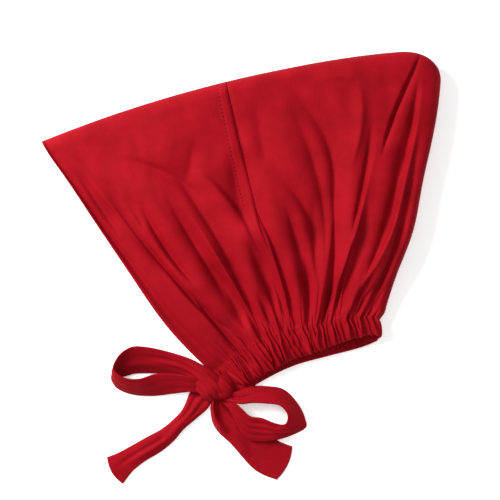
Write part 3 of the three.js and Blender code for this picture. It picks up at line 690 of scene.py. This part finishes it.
def grid(columns, rows, place, cloth_size, merge=1e-6):
    """A cloth grid: place turns shares across and up into points, and cloth_size sets its UVs."""
    bm = bmesh.new()
    uv_layer = bm.loops.layers.uv.new("cloth")
    bmesh.ops.create_grid(bm, x_segments=columns, y_segments=rows, size=0.5)
    shares = np.array([v.co[:2] for v in bm.verts]) + 0.5
    shares = np.clip(shares, 0, 1)
    points = place(shares[:, 0], shares[:, 1])
    for vert, point in zip(bm.verts, points):
        vert.co = point
    bm.verts.index_update()
    for face in bm.faces:
        for loop in face.loops:
            share = shares[loop.vert.index]
            loop[uv_layer].uv = (share[0] * cloth_size[0], share[1] * cloth_size[1])
    bmesh.ops.remove_doubles(bm, verts=bm.verts, dist=merge)
    bmesh.ops.recalc_face_normals(bm, faces=bm.faces)
    return bm


def lay_uvs(bm):
    """UVs seen from above, for small pieces that stand on no cloth grid."""
    uv_layer = bm.loops.layers.uv.new("cloth")
    for face in bm.faces:
        for loop in face.loops:
            loop[uv_layer].uv = loop.vert.co.xy
    bmesh.ops.recalc_face_normals(bm, faces=bm.faces)


def thicken(piece, thickness):
    wall = piece.modifiers.new("cloth thickness", "SOLIDIFY")
    wall.thickness = thickness
    wall.offset = -1
    wall.use_even_offset = False
    return piece


def add_node(tree, kind, settings=None, stops=(), **links):
    """A shader node with its settings, its colour stops and what goes into its inputs."""
    node = tree.nodes.new(kind)
    for key, value in (settings or {}).items():
        setattr(node, key, value)
    for _ in stops[2:]:
        node.color_ramp.elements.new(1.0)
    for k, (place, colour) in enumerate(stops):
        node.color_ramp.elements[k].position = place
        node.color_ramp.elements[k].color = (*colour, 1)
    for key, value in links.items():
        label = key.replace("_", " ")
        socket = node.inputs[label] if label in node.inputs else node.inputs[int(key[2:])]
        if isinstance(value, bpy.types.NodeSocket):
            tree.links.new(value, socket)
        else:
            socket.default_value = value
    return node


def bare_material(name):
    material = bpy.data.materials.new(name)
    material.use_nodes = True
    material.node_tree.nodes.clear()
    return material, material.node_tree


def jersey_material(name, base, deep, pale, knit, sheen, roughness):
    """Modal jersey, knitted fine and piece dyed: a soft matt face with a faint silky sheen.

    Its wales of 0.6 mm and its fibre tufts of about 0.4 mm are drawn coarser, so that they show.
    """
    material, tree = bare_material(name)
    uv = add_node(tree, "ShaderNodeUVMap", {"uv_map": "cloth"}).outputs["UV"]
    coords = add_node(tree, "ShaderNodeTexCoord").outputs["Object"]
    cloud = add_node(
        tree, "ShaderNodeTexNoise",
        Vector=coords, Scale=1 / (DYE_CLOUD * MM), Detail=4.0, Roughness=0.6,
    )
    pile = add_node(
        tree, "ShaderNodeTexNoise", Vector=coords, Scale=1 / (FIBRE_TUFT * MM), Detail=2.0)
    blend = add_node(
        tree, "ShaderNodeMath", {"operation": "MULTIPLY_ADD"},
        in0=pile.outputs["Fac"], in1=0.35, in2=cloud.outputs["Fac"],
    )
    dye = add_node(
        tree, "ShaderNodeValToRGB",
        stops=[(0.40, deep), (0.62, base), (0.88, pale)], Fac=blend.outputs[0],
    )
    wales, courses = (
        add_node(
            tree, "ShaderNodeTexWave",
            {"wave_type": "BANDS", "bands_direction": axis, "wave_profile": "SIN"},
            Vector=uv, Scale=closer * WAVE_TURN / (knit * MM), Distortion=uneven, Detail=1.0,
        )
        for axis, closer, uneven in (("X", 1, 0.6), ("Y", COURSES, 0.8))
    )
    stitch = add_node(
        tree, "ShaderNodeMath", {"operation": "MULTIPLY"},
        in0=wales.outputs["Fac"], in1=courses.outputs["Fac"],
    )
    fuzz = add_node(
        tree, "ShaderNodeMath", {"operation": "MULTIPLY_ADD"},
        in0=pile.outputs["Fac"], in1=2.0, in2=stitch.outputs[0],
    )
    bump = add_node(tree, "ShaderNodeBump", Height=fuzz.outputs[0], Strength=0.16, Distance=0.0003)
    shader = add_node(
        tree, "ShaderNodeBsdfPrincipled",
        Base_Color=dye.outputs["Color"], Roughness=roughness, Normal=bump.outputs["Normal"],
        Sheen_Weight=sheen, Sheen_Roughness=0.45, Sheen_Tint=(*pale, 1), Specular_IOR_Level=0.07,
    )
    add_node(tree, "ShaderNodeOutputMaterial", Surface=shader.outputs["BSDF"])
    return material


def lit_floor_material(name, colour, roughness, glow):
    """Opal acrylic, cast and lit from below: matt white whose glow keeps the shadows pale."""
    material, tree = bare_material(name)
    coords = add_node(tree, "ShaderNodeTexCoord").outputs["Object"]
    mottle = add_node(
        tree, "ShaderNodeTexNoise", Vector=coords, Scale=1 / (FLOOR_CLOUD * MM), Detail=3.0)
    low = tuple(c * 0.985 for c in colour)
    tint = add_node(
        tree, "ShaderNodeValToRGB", stops=[(0.3, low), (0.7, colour)], Fac=mottle.outputs["Fac"])
    shader = add_node(
        tree, "ShaderNodeBsdfPrincipled",
        Base_Color=tint.outputs["Color"], Roughness=roughness,
        Emission_Color=(1, 1, 1, 1), Emission_Strength=glow,
    )
    add_node(tree, "ShaderNodeOutputMaterial", Surface=shader.outputs["BSDF"])
    return material


def cloth_finish(colours, name):
    return bpy.data.materials.get(name) or jersey_material(
        name, tuple(colours.jersey), tuple(colours.jersey_deep), tuple(colours.jersey_pale),
        knit=WALES[name], sheen=0.20, roughness=0.75,
    )


def thread_finish(colours):
    """Spun polyester thread, twisted fine: matt, a shade deeper than the cloth."""
    name = "spun_polyester_thread"
    return jersey_material(
        name, tuple(colours.thread), tuple(colours.thread), tuple(colours.jersey),
        knit=WALES[name], sheen=0.1, roughness=0.8,
    )


# Sizes and colours


class CapSizes(bpy.types.PropertyGroup):
    jersey_thickness: FloatProperty(
        name="Jersey thickness", description="Thickness of one layer of the cloth",
        default=0.0008, min=0.0003, max=0.002, unit="LENGTH")
    fold_depth: FloatProperty(
        name="Fold depth", description="How deep the deepest folds press into the upper layer",
        default=0.0105, min=0.0, max=0.02, unit="LENGTH")
    fold_width: FloatProperty(
        name="Fold width", description="Half width of a fold",
        default=0.0055, min=0.001, max=0.02, unit="LENGTH")
    ripple_depth: FloatProperty(
        name="Ripple depth", description="Height of the faint ripples between the folds",
        default=0.0005, min=0.0, max=0.003, unit="LENGTH")
    gather_depth: FloatProperty(
        name="Gather depth", description="Depth of the short gathers above the casing",
        default=0.0021, min=0.0, max=0.006, unit="LENGTH")
    pleat_depth: FloatProperty(
        name="Pleat depth", description="Height of the casing's pleats",
        default=0.0023, min=0.0, max=0.005, unit="LENGTH")
    pleat_width: FloatProperty(
        name="Pleat width", description="Half width of a pleat's crest",
        default=0.0009, min=0.0004, max=0.004, unit="LENGTH")
    casing_thickness: FloatProperty(
        name="Casing thickness", description="Thickness of the casing with its elastic",
        default=0.0034, min=0.001, max=0.008, unit="LENGTH")
    seam_allowance: FloatProperty(
        name="Seam allowance", description="Width of the turned allowance beside the seam",
        default=0.0082, min=0.002, max=0.02, unit="LENGTH")
    tie_thickness: FloatProperty(
        name="Tie thickness", description="Thickness of a tie strip, two layers of jersey",
        default=0.0018, min=0.0005, max=0.004, unit="LENGTH")
    tie_wrinkle: FloatProperty(
        name="Tie wrinkle", description="Height of the lengthwise wrinkles of the tie strips",
        default=0.00022, min=0.0, max=0.002, unit="LENGTH")
    stitch_length: FloatProperty(
        name="Stitch length", description="Length of one stitch of the top stitching",
        default=0.0024, min=0.001, max=0.006, unit="LENGTH")
    stitch_pitch: FloatProperty(
        name="Stitch pitch", description="From one stitch to the next",
        default=0.0036, min=0.001, max=0.01, unit="LENGTH")
    camera_height: FloatProperty(
        name="Camera height", description="Height of the camera above the floor",
        default=1.3, min=0.5, max=5.0, unit="LENGTH")
    view_width: FloatProperty(
        name="View width", description="Width of the floor that the camera sees",
        default=0.470, min=0.2, max=1.0, unit="LENGTH")
    knot_segments: IntProperty(
        name="Knot segments", description="Faces round the knot", default=64, min=16, max=128)


class CapColours(bpy.types.PropertyGroup):
    jersey: FloatVectorProperty(
        name="Jersey", description="Main colour of the dyed cloth",
        default=linear("#880412"), min=0, max=1, size=3, subtype="COLOR")
    jersey_deep: FloatVectorProperty(
        name="Jersey, deep", description="Where the dye looks deepest",
        default=linear("#7C030F"), min=0, max=1, size=3, subtype="COLOR")
    jersey_pale: FloatVectorProperty(
        name="Jersey, pale", description="Raised fibres and the cloth's sheen",
        default=linear("#940717"), min=0, max=1, size=3, subtype="COLOR")
    thread: FloatVectorProperty(
        name="Thread", description="Sewing thread",
        default=linear("#5C0410"), min=0, max=1, size=3, subtype="COLOR")
    floor: FloatVectorProperty(
        name="Floor", description="Plain pale floor",
        default=linear("#FAFAFA"), min=0, max=1, size=3, subtype="COLOR")


# Pieces


def cloth_piece(name, node, side, sizes, colours):
    """Both layers of the panel (side 0) or of the bag (side 1), in one grid over the top fold."""
    rows = NEAR_ROWS + FAR_ROWS
    near_share = NEAR_ROWS / rows

    def place(across, up):
        near = up >= 1 - near_share
        t = np.where(near, (up - 1 + near_share) / near_share, 1 - up / (1 - near_share))
        v = np.clip(1 - t, 0, 1)
        u = mix(seam_at(v), 1, across) if side else mix(0, seam_at(v), across)
        return cloth_point(u, v, np.where(near, 1, -1), sizes)

    cut = (SEAM * MIDDLE_LENGTH, 2 * BACK_LENGTH)
    bm = grid(CLOTH_COLUMNS, rows, place, cut)
    piece = new_piece(
        name, bm, node, slot_name="jersey", material=cloth_finish(colours, "modal_jersey"))
    return thicken(piece, sizes.jersey_thickness)


class CAP_OT_cloth(bpy.types.Operator):
    """The two layers of the front panel and of the crown bag"""

    bl_idname = "cap.cloth"
    bl_label = "Front panel and crown bag"

    def execute(self, context):
        sizes, colours = context.scene.cap_sizes, context.scene.cap_colours
        panel = cloth_piece("front_panel_cloth", "front_panel", 0, sizes, colours)
        bag = cloth_piece("crown_bag_cloth", "crown_bag", 1, sizes, colours)
        return {"FINISHED"}


class CAP_OT_stitches(bpy.types.Operator):
    """The row of top stitches beside the seam"""

    bl_idname = "cap.stitches"
    bl_label = "Seam stitches"

    def execute(self, context):
        sizes, colours = context.scene.cap_sizes, context.scene.cap_colours
        high, low = STITCHED_SHARES
        v = np.linspace(high, low, int((high - low) * BACK_LENGTH / sizes.stitch_pitch))
        away = sizes.seam_allowance + STITCH_DENT["middle"] * MM
        step = 0.5 * sizes.stitch_length / BACK_LENGTH

        def row(shares):
            u = seam_at(shares) - away / mix(HEM_LENGTH, TOP_LENGTH, shares)
            return cloth_point(u, shares, np.ones(len(shares)), sizes)

        first, second = row(v + step), row(v - step)
        bm = bmesh.new()
        for a, b in zip(first, second):
            way = Vector(b - a)
            made = bmesh.ops.create_uvsphere(bm, u_segments=6, v_segments=4, radius=0.5)
            turn = way.to_track_quat("Z", "Y").to_matrix()
            for vert in made["verts"]:
                x, y, z = vert.co
                local = Vector((x * STITCH_WIDTH, y * STITCH_HEIGHT, z * way.length))
                vert.co = Vector(a) + way / 2 + turn @ local + Vector((0, 0, 0.05 * MM))
        lay_uvs(bm)
        new_piece("seam_stitches", bm, slot_name="jersey", material=thread_finish(colours))
        return {"FINISHED"}


def band_frame(samples, sizes):
    """Middle line of the casing from the knot round the nape and back, with its directions."""
    s = np.linspace(0, 2, samples)
    u = np.where(s <= 1, s, 2 - s)
    layer = np.where(s <= 1, 1, -1)
    raw = cloth_point(u, 0 * u, layer, sizes)
    half = 12
    kernel = np.hanning(2 * half + 3)[1:-1]
    kernel /= kernel.sum()
    padded = np.pad(raw, ((half, half), (0, 0)), mode="edge")
    line = np.stack([np.convolve(column, kernel, mode="valid") for column in padded.T], -1)
    away = outward(u)
    across = np.concatenate([away, np.zeros((samples, 1))], -1)
    ahead = np.gradient(line, axis=0)
    normal = np.cross(across, ahead)
    normal /= np.linalg.norm(normal, axis=-1, keepdims=True)
    return u, layer, raw, line, across, normal


class CAP_OT_casing(bpy.types.Operator):
    """The gathered elastic casing round the hem"""

    bl_idname = "cap.casing"
    bl_label = "Elastic casing"

    def execute(self, context):
        sizes, colours = context.scene.cap_sizes, context.scene.cap_colours
        samples = PLEATS * PLEAT_STEPS + 1
        u, layer, raw, line, across, normal = band_frame(samples, sizes)
        full = fullness(u, 0 * u)
        rest = np.sum((raw - line) * normal, -1)

        def place(along, ring):
            k = np.clip(np.rint(along * (samples - 1)).astype(int), 0, samples - 1)
            turn = 2 * np.pi * ring
            share = 0.5 - 0.5 * np.cos(turn)
            outer = np.sin(turn) >= 0
            width = BAND_WIDTH * np.where(
                layer[k] > 0, read(BAND_SHARES, "near", u[k]), read(BAND_SHARES, "far", u[k]))
            rounding = np.sqrt(1 - np.clip((share - 1 + BAND_RIM) / BAND_RIM, 0, 1) ** 2)
            top = BAND_DROP * (rounding - 1) + BAND_CROWN * np.sin(np.pi * share)
            below = -mix(BAND_DROP, 1, rounding) * smooth(share, 0, 0.05)
            down = share * (width + BAND_LAP) - BAND_LAP
            pleat = pleats(u[k], -down, sizes) * smooth(u[k], 0.0, 0.03)
            reach = down + np.where(layer[k] > 0, *SCALLOP) * smooth(share, 0.7, 1) * pleat
            gone = smooth(share, 0.05, 0.3)
            crest = np.where(pleat > 0, CREST_ROUND * np.tanh(pleat / CREST_ROUND), pleat)
            crest = crest * np.where(layer[k] > 0, *CREST_SHARE)
            lift = rest[k] * (1 - gone) + crest * gone
            lift = lift * np.where(outer, 1.0, 0.5) * mix(0.8, 1, full[k])
            thick = sizes.casing_thickness * np.where(outer, top, below) + 0.15 * MM
            point = line[k] + across[k] * reach[:, None] + normal[k] * (thick + lift)[:, None]
            ground = np.where(outer, 0.1, 1.0) * MM
            point[:, 2] = np.where(layer[k] > 0, point[:, 2], np.maximum(point[:, 2], ground))
            return point

        bm = grid(samples - 1, BAND_RING, place, (HEM_LENGTH * 2.4, 2 * BAND_WIDTH))
        piece = new_piece(
            "nape_band_casing", bm, "nape_band", slot_name="casing",
            material=cloth_finish(colours, "gathered_jersey_casing"))
        return {"FINISHED"}


# The bow's four strips: sections, length, bearing, seed of the wrinkles and the size cut flat

BOW_STRIPS = (
    ("bow_loop_left", LEFT_LOOP_SECTIONS, LEFT_LOOP, LEFT_LOOP_BEARING, 11, (0.24, 0.026)),
    ("bow_loop_right", RIGHT_LOOP_SECTIONS, RIGHT_LOOP, RIGHT_LOOP_BEARING, 12, (0.18, 0.021)),
    ("tie_tail_left", LEFT_TAIL_SECTIONS, LEFT_TAIL, LEFT_TAIL_BEARING, 13, (0.12, 0.024)),
    ("tie_tail_right", RIGHT_TAIL_SECTIONS, RIGHT_TAIL, RIGHT_TAIL_BEARING, 14, (0.105, 0.032)),
)


def strip_edges(rows, length, bearing, samples):
    """Both edges and the arch of a strip, on smooth curves through its sections."""
    ahead = toward(bearing, 1)
    left = np.array([-ahead[1], ahead[0]])
    middle = KNOT_MIDDLE + length * (rows["along"][:, None] * ahead + rows["aside"][:, None] * left)
    turn = np.radians(bearing + rows["heading"])
    half = np.stack([np.cos(turn), np.sin(turn)], -1) * (rows["spread"] * TIE_WIDTH / 2)[:, None]
    first = np.column_stack([middle - half, STRIP_FLOOR + rows["first"] * TIE_WIDTH])
    second = np.column_stack([middle + half, STRIP_FLOOR + rows["second"] * TIE_WIDTH])
    sections = np.column_stack([first, second, rows["arch"] * TIE_WIDTH])
    places = np.linspace(0, len(sections) - 1, samples)
    k = np.clip(places.astype(int), 0, len(sections) - 2)
    t = (places - k)[:, None]
    slopes = np.gradient(sections, axis=0)
    drawn = curve(sections[k], sections[k + 1], slopes[k], slopes[k + 1], t)
    return drawn[:, :3], drawn[:, 3:6], drawn[:, 6]


def strip_piece(node, rows, length, bearing, seed, sizes, colours):
    """A tie strip: a flat tube of jersey with soft edges, whose ends close."""
    samples = STRIP_STEPS * (len(rows["along"]) - 1)
    first, second, arch = strip_edges(rows, length, bearing, samples + 1)
    wide = second - first
    reach = np.linalg.norm(wide, axis=-1)
    ahead = np.gradient((first + second) / 2, axis=0)
    normal = np.cross(ahead, wide)
    normal /= np.linalg.norm(normal, axis=-1, keepdims=True)
    loose = node in ("tie_tail_left", "tie_tail_right")
    if loose:
        normal *= np.sign(normal[:, 2:3] + 1e-9)
    onward = ahead / np.linalg.norm(ahead, axis=-1, keepdims=True)
    squeezed = np.clip(1 - reach / (0.95 * TIE_WIDTH), 0, 1)
    steps = np.linalg.norm(np.diff((first + second) / 2, axis=0), axis=-1)
    travel = np.concatenate([[0], np.cumsum(steps)])
    rng = np.random.default_rng(seed)
    waves = [
        (rng.uniform(0.8, 3.0), rng.uniform(0, 6.3), rng.uniform(-30, 30), rng.uniform(0.4, 1))
        for _ in range(4)
    ]

    def place(along, ring):
        k = np.clip(np.rint(along * samples).astype(int), 0, samples)
        turn = 2 * np.pi * ring
        share = 0.5 - 0.5 * np.cos(turn)
        side = np.sign(np.sin(turn)) * np.abs(np.sin(turn)) ** 0.4
        end = np.minimum(travel[k], travel[-1] - travel[k])
        closed = np.sqrt(np.clip(1 - (1 - np.clip(end / END_ROUND, 0, 1)) ** 2, 0, 1))
        edge_seam = 0.35 * np.exp(-(((share - 0.5) ** 2 - 0.2) / 0.03) ** 2)
        thick = side * closed * sizes.tie_thickness / 2 * (1 + edge_seam)
        inside = np.sin(np.pi * np.clip(share, 0, 1)) ** 0.5
        ripple = 0
        for count, phase, drift, strength in waves:
            ripple = ripple + strength * np.sin(2 * np.pi * count * share + phase + drift * travel[k])
        ripple = sizes.tie_wrinkle * ripple * inside * (0.35 + 1.2 * squeezed[k])
        way = travel[k] / travel[-1]
        for middle, half, height, start, stop in zip(*CREASES[node].values()):
            shown = smooth(way, start, start + 0.12) * (1 - smooth(way, stop - 0.14, stop))
            roll = TIE_WIDTH * height * np.exp(-(((share - middle) / half) ** 2))
            ripple = ripple + shown * roll
        point = first[k] + wide[k] * share[:, None] + normal[k] * (thick + ripple)[:, None]
        if loose:
            bulge = END_BULGE * 4 * share * (1 - share) * smooth(way, 0.84, 1)
            point += onward[k] * bulge[:, None]
        point[:, 2] += arch[k] * 4 * share * (1 - share)
        point[:, 2] = np.maximum(point[:, 2], FLOOR_GAP + 0.3 * MM * (side + 1))
        return point

    bm = grid(samples, STRIP_RING, place, (travel[-1], 2 * TIE_WIDTH), merge=2e-6)
    piece = new_piece(
        node + "_strip", bm, node, slot_name="ties", material=cloth_finish(colours, "jersey_tie_strip"))
    return piece


class CAP_OT_bow(bpy.types.Operator):
    """The two loops and the two loose ends of the bow"""

    bl_idname = "cap.bow"
    bl_label = "Bow loops and tie ends"

    def execute(self, context):
        sizes, colours = context.scene.cap_sizes, context.scene.cap_colours
        for node, rows, length, bearing, seed, flat in BOW_STRIPS:
            strip_piece(node, rows, length, bearing, seed, sizes, colours)
        return {"FINISHED"}


class CAP_OT_knot(bpy.types.Operator):
    """The knot in the middle of the bow"""

    bl_idname = "cap.knot"
    bl_label = "Knot"

    def execute(self, context):
        sizes, colours = context.scene.cap_sizes, context.scene.cap_colours
        bm = bmesh.new()
        around = sizes.knot_segments
        bmesh.ops.create_uvsphere(bm, u_segments=around, v_segments=around // 2, radius=1)
        half = KNOT_FULLNESS / 2 * Vector(KNOT_SIZE)
        turn = Matrix.Rotation(math.radians(KNOT_TILT), 3, "Z")
        middle = Vector((KNOT_MIDDLE[0] + KNOT_SHIFT, KNOT_MIDDLE[1], KNOT_SEAT * KNOT_SIZE[2]))
        for vert in bm.verts:
            x, y, z = vert.co
            angle = math.atan2(z, y)
            ridge = 1 + sum(
                high * math.cos(count * angle + twist * x) for high, count, twist in KNOT_RIDGES)
            vert.co = middle + turn @ Vector((x * half.x, y * ridge * half.y, z * ridge * half.z))
            vert.co.z = max(2 * FLOOR_GAP, vert.co.z)
        lay_uvs(bm)
        new_piece(
            "bow_knot_core", bm, "bow_knot", slot_name="ties",
            material=cloth_finish(colours, "jersey_tie_strip"))
        return {"FINISHED"}


# Lamps: name, place, size and power. The camera looks at a middle counted from the tie corner, and
# its view is as wide as asked at the height of the view plane.

ROOM_LIGHT = 0.40
LAMPS = (
    ("key", (-1.05, 0.62, 0.85), 0.6, 38.0),
    ("fill", (0.3, 0.1, 1.6), 1.2, 7.0),
)
VIEW_MIDDLE = np.array([33.84, 116.56]) * MM
VIEW_PLANE = 0.012


class CAP_OT_stage(bpy.types.Operator):
    """Floor, soft light and the camera straight above the cap"""

    bl_idname = "cap.stage"
    bl_label = "Floor, light and camera"

    def execute(self, context):
        sizes, colours = context.scene.cap_sizes, context.scene.cap_colours
        scene = context.scene
        bm = bmesh.new()
        bmesh.ops.create_grid(bm, x_segments=2, y_segments=2, size=3.0)
        mesh = bpy.data.meshes.new("floor")
        bm.to_mesh(mesh)
        bm.free()
        floor = bpy.data.objects.new("floor", mesh)
        mesh.materials.append(lit_floor_material(
            "opal_acrylic_light_table", tuple(colours.floor), roughness=0.9, glow=0.35))
        scene.collection.objects.link(floor)

        world = bpy.data.worlds.new("studio")
        scene.world = world
        world.use_nodes = True
        background = world.node_tree.nodes["Background"]
        background.inputs["Color"].default_value = (1, 1, 1, 1)
        background.inputs["Strength"].default_value = ROOM_LIGHT
        for name, place, size, power in LAMPS:
            data = bpy.data.lights.new(name, "AREA")
            data.size = size
            data.energy = power
            lamp = bpy.data.objects.new(name, data)
            lamp.location = place
            lamp.rotation_euler = (-Vector(place)).to_track_quat("-Z", "Y").to_euler()
            scene.collection.objects.link(lamp)

        middle = TIE_CORNER + VIEW_MIDDLE
        data = bpy.data.cameras.new("above")
        data.lens = data.sensor_width * (sizes.camera_height - VIEW_PLANE) / sizes.view_width
        camera = bpy.data.objects.new("above", data)
        camera.location = (middle[0], middle[1], sizes.camera_height)
        scene.collection.objects.link(camera)
        scene.camera = camera
        scene.view_settings.view_transform = "Standard"
        return {"FINISHED"}


class CAP_PT_sidebar(bpy.types.Panel):
    """Lists the cap's pieces, sizes and colours"""

    bl_label = "Underscarf cap"
    bl_idname = "CAP_PT_sidebar"
    bl_space_type = "VIEW_3D"
    bl_region_type = "UI"
    bl_category = "Cap"

    def draw(self, context):
        for operator in OPERATORS:
            self.layout.operator(operator.bl_idname)
        for group in (context.scene.cap_sizes, context.scene.cap_colours):
            column = self.layout.column(align=True)
            for key in group.__annotations__:
                column.prop(group, key)


OPERATORS = (CAP_OT_cloth, CAP_OT_stitches, CAP_OT_casing, CAP_OT_knot, CAP_OT_bow, CAP_OT_stage)
CLASSES = (CapSizes, CapColours, *OPERATORS, CAP_PT_sidebar)


def register():
    for cls in CLASSES:
        bpy.utils.register_class(cls)
    bpy.types.Scene.cap_sizes = PointerProperty(type=CapSizes)
    bpy.types.Scene.cap_colours = PointerProperty(type=CapColours)


def unregister():
    del bpy.types.Scene.cap_colours
    del bpy.types.Scene.cap_sizes
    for cls in reversed(CLASSES):
        bpy.utils.unregister_class(cls)


def main():
    register()
    bpy.ops.cap.cloth()
    bpy.ops.cap.stitches()
    bpy.ops.cap.casing()
    bpy.ops.cap.knot()
    bpy.ops.cap.bow()
    bpy.ops.cap.stage()


if __name__ == "__main__":
    main()
